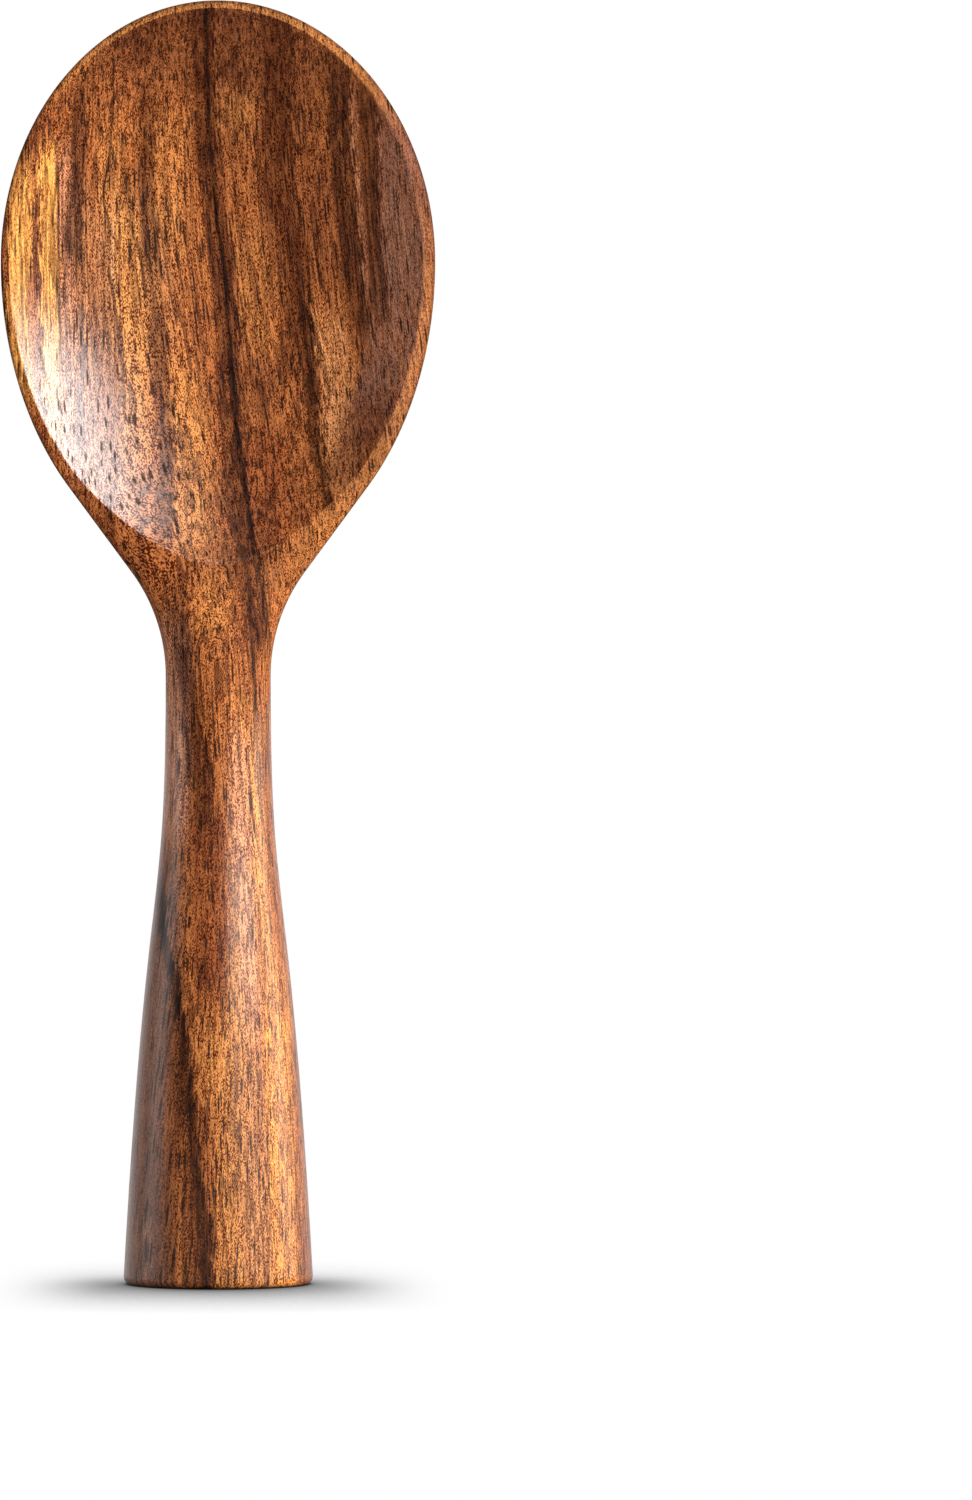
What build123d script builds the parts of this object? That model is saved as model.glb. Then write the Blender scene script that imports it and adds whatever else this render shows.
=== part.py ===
from build123d import *
import os
from math import atan, cos, pi, radians, sin, sqrt, tan

# Standing rice paddle, turned and carved from one piece of hardwood.
# Frame: +Z up, origin at the centre of the foot's flat face, +X across the
# head, and the bowl is hollowed into the side that faces -Y.
# All lengths are in millimetres.

# Overall sizes
height = 215.0
head_width = 72.7
neck_diameter = 17.6
foot_diameter = 31.9

# Handle: a long ogee turned round the upright axis, from the foot to the neck
foot_taper_degrees = 3.2        # how far the side leans in above the foot
foot_lead_share = 0.72          # how far up the handle the foot's lean is felt
neck_lead_share = 0.42          # how far down the handle the neck stays slim
foot_round = 1.5                # how far the foot's lower edge is worn round

# Head, seen from the front: half an ellipse above the widest height, most of a
# longer half ellipse below it, then a straight flare and an arc to the neck
crown_drop = 43.8               # from the top down to the widest height
belly_drop = 51.8               # lower semi-axis, from the widest height down
flare_degrees = 36.4            # the straight flare, off the upright
flare_radius = 29.3             # the arc between the flare and the neck

# Head, seen from the side: how far each line stands off the upright axis, and
# the height above the neck over which the round neck settles to it
front_forward = 4.5             # the middle of the front, which the bowl removes
front_settle = 20.0
edge_forward = 2.9              # the outer edge, where front and back meet
edge_settle = 36.0
crown_back = 5.5                # the middle of the convex back
crown_settle = 44.0

# Bowl: a scoop whose cut has the head's own two half ellipses, drawn in
rim_land = 2.3                  # rim left at the sides
top_land = 1.7                  # rim left at the top
heel_land = 5.5                 # wood left between the lower half ellipses
bowl_depth = 5.4                # at the widest height, below the rim
bowl_meet_share = 0.15          # share of the front's bulge at which it is cut
bowl_sweep_degrees = 48.0       # stretch of the scoop's quarter that cuts wood
rim_softness = 0.5              # radius rubbed on the bowl's edge

# Counts of bands and sections, which follow no size
SIDE_BAND_COUNT = 12
ROUND_BAND_COUNT = 6
FLARE_SECTIONS = 5
STRAIGHT_SECTIONS = 2
BELLY_SECTIONS = 5
CROWN_SECTIONS = 8

# Sizes worked out from those above
head_half = head_width / 2
neck_radius = neck_diameter / 2
foot_radius = foot_diameter / 2
widest_height = height - crown_drop
flare = radians(flare_degrees)
belly_turn = atan(belly_drop * tan(flare) / head_half)
belly_end_half = head_half * cos(belly_turn)
belly_end_height = widest_height - belly_drop * sin(belly_turn)
arc_end_half = neck_radius + flare_radius * (1 - cos(flare))
arc_end_height = belly_end_height - (belly_end_half - arc_end_half) / tan(flare)
neck_height = arc_end_height - flare_radius * sin(flare)


def half_width(z):
    """Half the head's width at a height above the neck."""
    if z >= widest_height:
        return head_half * sqrt(1 - ((z - widest_height) / crown_drop) ** 2)
    if z >= belly_end_height:
        return head_half * sqrt(1 - ((widest_height - z) / belly_drop) ** 2)
    if z >= arc_end_height:
        return arc_end_half + (z - arc_end_height) * tan(flare)
    rise = z - neck_height
    return neck_radius + flare_radius - sqrt(flare_radius**2 - rise**2)


def settled(z, start, end, span):
    """A value that goes smoothly from start, at the neck, to end a span above it."""
    share = min(1, (z - neck_height) / span)
    return start + (end - start) * share**2 * (3 - 2 * share)


def closing(z):
    """Share of the head's depth that is left at a height: 0 at the very top."""
    share = max(0, (z - widest_height) / crown_drop)
    return sqrt(1 - share**2)

def head_section(z):
    """The head's level section: half an ellipse in front and a fuller one behind."""
    middle = (0, settled(z, 0, -edge_forward, edge_settle), z)
    front = settled(z, neck_radius, front_forward, front_settle) + middle[1]
    back = settled(z, neck_radius, crown_back, crown_settle) - middle[1]
    half = half_width(z)
    front_curve = EllipticalCenterArc(middle, half, front * closing(z), 180, arc_size=180)
    back_curve = EllipticalCenterArc(middle, half, back * closing(z), 0, arc_size=180)
    return make_face([front_curve, back_curve])

def neck_section():
    """The round section that the head shares with the top of the handle."""
    left = (-neck_radius, 0, neck_height)
    right = (neck_radius, 0, neck_height)
    front_curve = ThreePointArc(left, (0, -neck_radius, neck_height), right)
    back_curve = ThreePointArc(left, (0, neck_radius, neck_height), right)
    return make_face([front_curve, back_curve])


def section_heights():
    """Heights of the head's sections, closer together where its outline turns."""
    heights = []
    for step in range(1, FLARE_SECTIONS):
        turn = flare * step / FLARE_SECTIONS
        heights.append(neck_height + flare_radius * sin(turn))
    for step in range(STRAIGHT_SECTIONS):
        share = step / STRAIGHT_SECTIONS
        heights.append(arc_end_height + (belly_end_height - arc_end_height) * share)
    for step in range(BELLY_SECTIONS):
        turn = belly_turn * (1 - step / BELLY_SECTIONS)
        heights.append(widest_height - belly_drop * sin(turn))
    for step in range(CROWN_SECTIONS):
        turn = pi / 2 * step / CROWN_SECTIONS
        heights.append(widest_height + crown_drop * sin(turn))
    return heights


def in_bands(curve, count):
    """A curve cut into equal stretches, each of which is turned into a band."""
    return [curve.trim(step / count, (step + 1) / count) for step in range(count)]

def make_handle():
    """The turned handle, from its flat foot up to the neck."""
    lean = Vector(-tan(radians(foot_taper_degrees)), 0, 1)
    flat_end = (foot_radius - foot_round, 0, 0)
    foot_corner = Vector(foot_radius, 0, 0)
    side_end = foot_corner + lean * foot_round
    leaning = foot_corner + lean * foot_lead_share * neck_height
    slim = (neck_radius, 0, neck_height - neck_lead_share * neck_height)
    neck = (neck_radius, 0, neck_height)
    foot_curve = Bezier(flat_end, foot_corner, side_end)
    side_curve = Bezier(side_end, leaning, slim, neck)
    bands = in_bands(foot_curve, ROUND_BAND_COUNT) + in_bands(side_curve, SIDE_BAND_COUNT)
    rest = Polyline(neck, (0, 0, neck_height), (0, 0, 0), flat_end)
    return revolve(make_face([*bands, rest]), axis=Axis.Z)

def make_head_blank():
    """The head before its bowl, lofted from the round neck to a closed top."""
    sections = [head_section(z) for z in section_heights()]
    return loft([neck_section(), *sections, Vertex(0, -edge_forward, height)])


def make_scoop():
    """The bowl's hollow: two half ellipsoids that meet at the widest height."""
    sweep = radians(bowl_sweep_degrees)
    across = (head_half - rim_land) / sin(sweep)
    deep = bowl_depth / (1 - cos(sweep))
    up = (crown_drop - top_land) / sin(sweep)
    down = (belly_drop - heel_land) / sin(sweep)
    upper = scale(split(Sphere(1), Plane.XY, Keep.TOP), by=(across, deep, up))
    lower = scale(split(Sphere(1), Plane.XY, Keep.BOTTOM), by=(across, deep, down))
    cut_line = edge_forward + (front_forward - edge_forward) * bowl_meet_share
    return Pos(0, bowl_depth - deep - cut_line, widest_height) * (upper + lower)


def on_rim(edge):
    """Whether an edge bounds the bowl: before the outer edge and above the neck."""
    middle = edge @ 0.5
    return middle.Y < -edge_forward and middle.Z > neck_height + front_settle / 2


def make_head():
    """The carved head: its blank, with the bowl cut and the bowl's edge softened."""
    carved = make_head_blank() - make_scoop()
    return fillet(carved.edges().filter_by(on_rim), radius=rim_softness)


os.makedirs("parts", exist_ok=True)

# The grain runs unbroken from the bowl to the foot, so this is one piece
paddle = make_handle() + make_head()
export_step(paddle, "parts/paddle.step")
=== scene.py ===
import logging
import math
from dataclasses import dataclass, field
from enum import Enum
from typing import Any, Sequence

import bpy
import numpy as np
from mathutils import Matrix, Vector


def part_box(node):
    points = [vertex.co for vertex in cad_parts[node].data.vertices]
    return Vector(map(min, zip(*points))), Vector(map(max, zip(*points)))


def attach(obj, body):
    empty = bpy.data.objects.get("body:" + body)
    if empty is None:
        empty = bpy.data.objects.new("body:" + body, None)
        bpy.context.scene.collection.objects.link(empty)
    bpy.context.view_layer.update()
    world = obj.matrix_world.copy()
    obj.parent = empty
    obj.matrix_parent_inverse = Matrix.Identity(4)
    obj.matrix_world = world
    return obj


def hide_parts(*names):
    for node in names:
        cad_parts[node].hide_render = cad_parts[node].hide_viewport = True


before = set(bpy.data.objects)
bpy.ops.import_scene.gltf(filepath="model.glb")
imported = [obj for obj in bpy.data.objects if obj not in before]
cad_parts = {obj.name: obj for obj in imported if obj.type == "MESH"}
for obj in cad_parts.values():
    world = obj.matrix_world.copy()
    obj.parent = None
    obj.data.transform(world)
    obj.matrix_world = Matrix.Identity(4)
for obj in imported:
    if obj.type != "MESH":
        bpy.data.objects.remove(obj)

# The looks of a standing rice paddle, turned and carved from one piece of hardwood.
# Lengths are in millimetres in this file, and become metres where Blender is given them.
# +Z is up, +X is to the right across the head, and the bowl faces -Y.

LOG = logging.getLogger("rice_paddle")
MM = 0.001
SMALLEST = 1e-6
EVEN = 0.5
WHITE = (1.0, 1.0, 1.0, 1.0)
BLACK = (0.0, 0.0, 0.0, 1.0)
Array = np.ndarray
Point = tuple[float, float]
Colour = tuple[float, float, float, float]

# The place where a gentle step is 0 and the place where it is 1, whichever is the larger.
Span = tuple[float, float]


def smooth_share(share: Array) -> Array:
    """An even share turned into one that starts and ends gently: 3s^2 - 2s^3, held to 0..1."""
    held = np.clip(share, 0.0, 1.0)
    return held * held * (3.0 - 2.0 * held)


def quadratic(start: Point, middle: Point, end: Point, steps: int) -> Array:
    """Points on the curve (1-t)^2 start + 2t(1-t) middle + t^2 end, for t from 0 to 1.

    Args:
        start, middle, end: The curve's control points, as (radius, height).
        steps: How many stretches the curve is cut into.

    Returns:
        An array of steps + 1 rows of (radius, height).
    """
    t = np.linspace(0.0, 1.0, steps + 1)[:, None]
    return (1 - t) ** 2 * np.array(start) + 2 * t * (1 - t) * np.array(middle) + t**2 * np.array(end)


def cubic(start: Point, lead: Point, trail: Point, end: Point, steps: int) -> Array:
    """Points on the curve (1-t)^3 start + 3t(1-t)^2 lead + 3t^2(1-t) trail + t^3 end.

    Args:
        start, lead, trail, end: The curve's control points, as (radius, height).
        steps: How many stretches the curve is cut into.

    Returns:
        An array of steps + 1 rows of (radius, height).
    """
    t = np.linspace(0.0, 1.0, steps + 1)[:, None]
    s = 1 - t
    return (s**3 * np.array(start) + 3 * t * s**2 * np.array(lead)
            + 3 * t**2 * s * np.array(trail) + t**3 * np.array(end))


@dataclass
class PaddleForm:
    """The paddle's surfaces as formulas of height and of the place across, in millimetres."""

    height: float
    head_width: float
    neck_diameter: float = 17.6
    foot_diameter: float = 31.88
    foot_taper_degrees: float = 3.2
    foot_lead_share: float = 0.72
    neck_lead_share: float = 0.42
    foot_round: float = 1.5
    crown_drop: float = 43.8
    belly_drop: float = 51.8
    flare_degrees: float = 36.4
    flare_radius: float = 29.3
    front_forward: float = 4.5
    front_settle: float = 20.0
    edge_forward: float = 2.9
    edge_settle: float = 36.0
    crown_back: float = 5.5
    crown_settle: float = 44.0
    rim_land: float = 2.3
    top_land: float = 1.7
    heel_land: float = 5.5
    bowl_depth: float = 5.4
    bowl_meet_share: float = 0.15
    bowl_sweep_degrees: float = 48.0
    bowl_leftward: float = 0.45
    rim_rub: float = 0.12
    heel_rub: float = 0.3
    heel_rub_reach: float = 6.0
    edge_from: float = 0.98
    foot_round_steps: int = 8
    handle_steps: int = 400

    def __post_init__(self) -> None:
        """Works out the places where one curve of the outline meets the next."""
        self.head_half = self.head_width / 2
        self.neck_radius = self.neck_diameter / 2
        self.widest_height = self.height - self.crown_drop
        flare = math.radians(self.flare_degrees)
        belly_turn = math.atan(self.belly_drop * math.tan(flare) / self.head_half)
        self.belly_end_height = self.widest_height - self.belly_drop * math.sin(belly_turn)
        belly_end_half = self.head_half * math.cos(belly_turn)
        self.flare_slope = math.tan(flare)
        self.arc_end_half = self.neck_radius + self.flare_radius * (1 - math.cos(flare))
        self.arc_end_height = (self.belly_end_height
                               - (belly_end_half - self.arc_end_half) / self.flare_slope)
        self.neck_height = self.arc_end_height - self.flare_radius * math.sin(flare)
        sweep = math.radians(self.bowl_sweep_degrees)
        self.scoop_across = (self.head_half - self.rim_land) / math.sin(sweep)
        self.scoop_up = (self.crown_drop - self.top_land) / math.sin(sweep)
        self.scoop_down = (self.belly_drop - self.heel_land) / math.sin(sweep)
        self.scoop_deep = self.bowl_depth / (1 - math.cos(sweep))
        cut_line = self.edge_forward + (self.front_forward - self.edge_forward) * self.bowl_meet_share
        self.scoop_y = self.bowl_depth - self.scoop_deep - cut_line

    def handle_profile(self) -> tuple[Array, Array]:
        """The turned profile: the foot's worn edge, then one long ogee up to the neck.

        Returns:
            The round's points and the ogee's points, as rows of (radius, height).
        """
        foot_radius = self.foot_diameter / 2
        slope = math.tan(math.radians(self.foot_taper_degrees))
        side_end = (foot_radius - slope * self.foot_round, self.foot_round)
        lead_rise = self.foot_lead_share * self.neck_height
        leaning = (foot_radius - slope * lead_rise, lead_rise)
        slim = (self.neck_radius, self.neck_height * (1 - self.neck_lead_share))
        neck = (self.neck_radius, self.neck_height)
        face_edge = (foot_radius - self.foot_round, 0.0)
        worn = quadratic(face_edge, (foot_radius, 0.0), side_end, self.foot_round_steps)
        return worn, cubic(side_end, leaning, slim, neck, self.handle_steps)

    def half_width(self, z: Array) -> Array:
        """Half the outline's width: the ogee, an arc, a straight flare and two half ellipses.

        Args:
            z: Heights.

        Returns:
            The half widths, in an array of the same shape.
        """
        rise = np.clip(z - self.neck_height, 0.0, None)
        arc = self.neck_radius + self.flare_radius - np.sqrt(
            np.clip(self.flare_radius**2 - rise**2, 0.0, None))
        flare = self.arc_end_half + (z - self.arc_end_height) * self.flare_slope
        below = np.clip((self.widest_height - z) / self.belly_drop, 0.0, 1.0)
        above = np.clip((z - self.widest_height) / self.crown_drop, 0.0, 1.0)
        head = self.head_half * np.sqrt(1 - np.where(z < self.widest_height, below, above) ** 2)
        _, side = self.handle_profile()
        handle = np.interp(z, side[:, 1], side[:, 0])
        return np.select([z < self.neck_height, z < self.arc_end_height, z < self.belly_end_height],
                         [handle, arc, flare], head)

    def settled(self, z: Array, start: float, end: float, span: float) -> Array:
        """A value that goes gently from start, at the neck, to end a span above it."""
        return start + (end - start) * smooth_share((z - self.neck_height) / span)

    def depths(self, z: Array) -> tuple[Array, Array, Array]:
        """Where each level's widest line stands, and how far it bulges before and behind.

        Args:
            z: Heights.

        Returns:
            The line's y, the front's bulge and the back's bulge, all in millimetres.
        """
        edge = self.settled(z, 0.0, -self.edge_forward, self.edge_settle)
        share = np.clip((z - self.widest_height) / self.crown_drop, 0.0, 1.0)
        closing = np.sqrt(1 - share**2)
        front = self.settled(z, self.neck_radius, self.front_forward, self.front_settle) + edge
        back = self.settled(z, self.neck_radius, self.crown_back, self.crown_settle) - edge
        on_handle = z < self.neck_height
        radius = self.half_width(z)
        return (edge, np.where(on_handle, radius, front * closing),
                np.where(on_handle, radius, back * closing))

    def edge_share(self, points: Array) -> Array:
        """How near each point is to the outline: 0 until edge_from of the way out, 1 at the outline.

        Args:
            points: Rows of x, y and z.

        Returns:
            One share of 0..1 for each point.
        """
        x, z = points[:, 0], points[:, 2]
        rise = (z - self.widest_height) / self.crown_drop
        level = np.abs(x) / np.maximum(self.half_width(z), SMALLEST)
        out = np.where(rise > 0, np.hypot(x / self.head_half, rise), level)
        return smooth_share((out - self.edge_from) / (1 - self.edge_from)).astype(np.float32)

    def front_y(self, x: Array, z: Array) -> Array:
        """The uncut front: the widest line less its bulge times sqrt(1 - (x / half)^2).

        Args:
            x: Places across.
            z: Heights.

        Returns:
            The front's y at each.
        """
        edge, front, _ = self.depths(z)
        half = np.maximum(self.half_width(z), SMALLEST)
        return edge - front * np.sqrt(np.clip(1 - (x / half) ** 2, 0.0, None))

    def bowl_y(self, x: Array, z: Array) -> Array:
        """The scoop: scoop_y plus scoop_deep times sqrt(1 - (x/across)^2 - (rise/up or down)^2).

        Here x counts from the scoop's own middle, and the rise from the widest height.

        Args:
            x: Places across.
            z: Heights.

        Returns:
            The scoop's y at each. Beyond its ends it lies far before the paddle, and cuts nothing.
        """
        rise = z - self.widest_height
        reach = np.where(rise > 0, self.scoop_up, self.scoop_down)
        inside = 1 - ((x + self.bowl_leftward) / self.scoop_across) ** 2 - (rise / reach) ** 2
        cut = self.scoop_y + self.scoop_deep * np.sqrt(np.clip(inside, 0.0, None))
        return np.where(inside > 0, cut, -self.head_width)

    def carved_y(self, x: Array, z: Array) -> Array:
        """The deeper of front and bowl, with the edge between them rubbed round.

        The rub is the smooth maximum (a + b + sqrt((a - b)^2 + 4 k^2)) / 2, less k^2 over the
        gap between a and b, or k where they are nearer, which brings it back to them further
        off. Its k is larger at the heel, where the bowl runs out softly into the neck.

        Args:
            x: Places across.
            z: Heights.

        Returns:
            The carved front's y at each.
        """
        front, bowl = self.front_y(x, z), self.bowl_y(x, z)
        heel = self.widest_height - self.belly_drop + self.heel_land
        near_heel = np.exp(-(x**2 + (z - heel) ** 2) / self.heel_rub_reach**2)
        rub = self.rim_rub + self.heel_rub * near_heel
        blended = (front + bowl + np.sqrt((front - bowl) ** 2 + 4 * rub**2)) / 2
        return blended - rub**2 / np.maximum(np.abs(front - bowl), rub)


@dataclass
class MeshParts:
    """Vertices and faces gathered block by block, with shared edges sharing their vertices."""

    blocks: list[Array] = field(default_factory=list)
    faces: list[Array] = field(default_factory=list)
    count: int = 0

    def add(self, points: Array) -> Array:
        """Gathers points.

        Args:
            points: An array whose last axis is x, y and z.

        Returns:
            Their indices, in an array of the shape that the points have without that axis.
        """
        shape = points.shape[:-1]
        number = int(np.prod(shape))
        self.blocks.append(points.reshape(-1, 3))
        indices = np.arange(self.count, self.count + number).reshape(shape)
        self.count += number
        return indices

    def quads(self, rows: Array, closed: bool) -> None:
        """Adds faces between the neighbours in a grid of indices.

        Args:
            rows: The grid, with its rows rising and its columns turning left as seen from outside.
            closed: Whether the last column joins the first.
        """
        lower, upper = rows[:-1], rows[1:]
        if closed:
            after_lower, after_upper = np.roll(lower, -1, 1), np.roll(upper, -1, 1)
        else:
            after_lower, after_upper = lower[:, 1:], upper[:, 1:]
            lower, upper = lower[:, :-1], upper[:, :-1]
        self.faces.append(np.stack([lower, upper, after_upper, after_lower], -1).reshape(-1, 4))

    def fan(self, pole: int, ring: Array) -> None:
        """Triangles from a pole to each stretch of a ring."""
        poles = np.full(len(ring) - 1, pole)
        self.faces.append(np.stack([poles, ring[:-1], ring[1:]], -1))

    def build(self, name: str) -> bpy.types.Object:
        """Makes the object, with its place in its mesh.

        Args:
            name: The object's name.

        Returns:
            The object, linked to the scene and shaded smooth.
        """
        mesh = bpy.data.meshes.new(name)
        faces = [row for block in self.faces for row in block.tolist()]
        mesh.from_pydata((np.concatenate(self.blocks) * MM).tolist(), [], faces)
        mesh.polygons.foreach_set("use_smooth", np.ones(len(mesh.polygons), bool))
        mesh.update()
        piece = bpy.data.objects.new(name, mesh)
        bpy.context.scene.collection.objects.link(piece)
        return piece


@dataclass
class PaddleSurface:
    """The paddle's closed surface: level loops up the handle and back, rings across the front."""

    form: PaddleForm
    columns_half: int = 96
    foot_rings: int = 5
    handle_levels: int = 100
    flare_levels: int = 44
    belly_levels: int = 48
    crown_levels: int = 66
    bowl_rings: int = 56
    bowl_crowding: float = 1.5
    land_rings: int = 24
    parting_rise: float = 9.5
    halvings: int = 40

    def loops(self, z: Array, angles: Array) -> Array:
        """Level loops of the outer surface: x is half * -cos(a), y is the line plus bulge * sin(a).

        Args:
            z: Heights.
            angles: Angles from the left edge, round the back, to the right edge and the front.

        Returns:
            An array of levels by columns by 3.
        """
        edge, front, back = (part[:, None] for part in self.form.depths(z))
        bulge = np.where(np.sin(angles) > 0, back, front)
        x = -self.form.half_width(z)[:, None] * np.cos(angles)
        y = edge + bulge * np.sin(angles)
        return np.stack([x, y, np.broadcast_to(z[:, None], x.shape)], -1)

    def turned(self, profile: Array, angles: Array) -> Array:
        """Rings of a turned profile: x is radius * -cos(a), y is radius * sin(a).

        Args:
            profile: Rows of (radius, height).
            angles: Angles from the left edge, round the back, to the right edge and the front.

        Returns:
            An array of profile rows by columns by 3.
        """
        radius, height = profile[:, :1], profile[:, 1:]
        x, y = -radius * np.cos(angles), radius * np.sin(angles)
        return np.stack([x, y, np.broadcast_to(height, x.shape)], -1)

    def head_levels(self, start: float) -> Array:
        """Heights from the parting up to just under the top, closer where the outline turns.

        Args:
            start: The parting's height.

        Returns:
            The heights, rising.
        """
        form = self.form
        flare = np.linspace(start, form.belly_end_height, self.flare_levels + 1)
        low = math.asin((form.widest_height - form.belly_end_height) / form.belly_drop)
        belly = form.widest_height - form.belly_drop * np.sin(np.linspace(low, 0, self.belly_levels + 1))
        turn = np.linspace(0, math.pi / 2, self.crown_levels + 1)
        crown = form.widest_height + form.crown_drop * np.sin(turn)
        return np.concatenate([flare, belly[1:], crown[1:-1]])

    def rim_shares(self, hub: Array, ends: Array) -> Array:
        """How far along each ray from the hub the bowl meets the front, by halving the gap.

        Args:
            hub: The bowl's middle, as (x, z).
            ends: Where each ray meets the outline, as rows of (x, z).

        Returns:
            One share of 0..1 for each ray.
        """
        near, far = np.zeros(len(ends)), np.ones(len(ends))
        for _ in range(self.halvings):
            middle = (near + far) / 2
            x, z = (hub + (ends - hub) * middle[:, None]).T
            inside = self.form.bowl_y(x, z) > self.form.front_y(x, z)
            near, far = np.where(inside, middle, near), np.where(inside, far, middle)
        return near

    def build(self, name: str) -> bpy.types.Object:
        """Joins the foot, handle, back and carved front into one closed surface.

        The foot and the handle are closed loops up to the parting. Above it the back is half loops
        up to the tip, and the front is rings from the bowl's middle out to the outline.

        Args:
            name: The object's name.

        Returns:
            The object. Its "land" attribute is 1 on the rim and falls to 0 inside the bowl, and
            its "edge" attribute rises to 1 where the surface turns away at the outline.
        """
        form, parts = self.form, MeshParts()
        angles = np.linspace(0, 2 * math.pi, 2 * self.columns_half, endpoint=False)
        worn, side = form.handle_profile()
        flat = np.stack([np.linspace(0, worn[0, 0], self.foot_rings + 1)[1:-1],
                         np.zeros(self.foot_rings - 1)], -1)
        parting = form.neck_height + self.parting_rise
        levels = np.linspace(side[0, 1], parting, self.handle_levels)[1:]
        rings = np.concatenate([self.turned(np.concatenate([flat, worn]), angles),
                                self.loops(levels, angles)])
        body = parts.add(rings)
        pole = int(parts.add(np.zeros(3)))
        parts.fan(pole, np.append(body[0], body[0, 0]))
        parts.quads(body, closed=True)

        head = self.head_levels(parting)[1:]
        back_points = self.loops(head, angles[: self.columns_half + 1])
        back = np.concatenate([body[-1:, : self.columns_half + 1], parts.add(back_points)])
        tip = int(parts.add(np.array([0.0, -form.edge_forward, form.height])))
        parts.quads(back, closed=False)
        parts.fan(tip, back[-1][::-1])

        under = body[-1, self.columns_half + 1:]
        outline = np.concatenate([back[:, 0], [tip], back[::-1, -1], under])
        points = np.concatenate(parts.blocks)
        ends = points[outline][:, [0, 2]]
        hub = np.array([-form.bowl_leftward, form.widest_height])
        rim = self.rim_shares(hub, ends)
        even = np.arange(1, self.bowl_rings + 1) / self.bowl_rings
        inner = 1 - (1 - even) ** self.bowl_crowding
        outer = smooth_share(np.arange(1, self.land_rings) / self.land_rings)
        shares = np.concatenate([inner[:, None] * rim, rim + outer[:, None] * (1 - rim)])
        place = hub + (ends - hub) * shares[..., None]
        x, z = place[..., 0], place[..., 1]
        front = parts.add(np.stack([x, form.carved_y(x, z), z], -1))
        hub_y = form.carved_y(hub[:1], hub[1:])[0]
        hub_index = int(parts.add(np.array([hub[0], hub_y, hub[1]])))
        rows = np.concatenate([front, outline[None]])
        parts.quads(rows[::-1], closed=True)
        parts.fan(hub_index, np.append(front[0], front[0, 0])[::-1])

        piece = parts.build(name)
        land = np.ones(parts.count, np.float32)
        land[front] = np.where(np.arange(len(front)) < self.bowl_rings, 0.0, 1.0)[:, None]
        land[hub_index] = 0.0
        attribute = piece.data.attributes.new("land", "FLOAT", "POINT")
        attribute.data.foreach_set("value", land)
        attribute = piece.data.attributes.new("edge", "FLOAT", "POINT")
        attribute.data.foreach_set("value", form.edge_share(np.concatenate(parts.blocks)))
        return piece


class Tone(Enum):
    """The wood's tones, as sRGB shades of 0..255. The mauve one stands partly for a painted reflection.
    """

    HONEY = (180, 99, 44)
    AMBER = (206, 126, 58)
    GOLD = (246, 160, 70)
    OCHRE = (226, 134, 56)
    TAN = (188, 119, 66)
    PALE = (244, 200, 142)
    SALMON = (202, 128, 86)
    RUST = (128, 60, 26)
    COCOA = (108, 56, 28)
    UMBER = (68, 27, 9)
    PLUM = (60, 28, 14)
    # Partly a painted reflection: the veil of the mirrored surround, over the wood's own mauve-brown.
    MAUVE_REFLECTION = (130, 84, 60)
    BARK = (32, 11, 3)

    @property
    def linear(self) -> Colour:
        """The tone as a linear colour for a shader, by the sRGB standard's own formula."""
        shares = np.array(self.value) / 255.0
        red, green, blue = np.where(shares <= 0.04045, shares / 12.92, ((shares + 0.055) / 1.055) ** 2.4)
        return (float(red), float(green), float(blue), 1.0)


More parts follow.
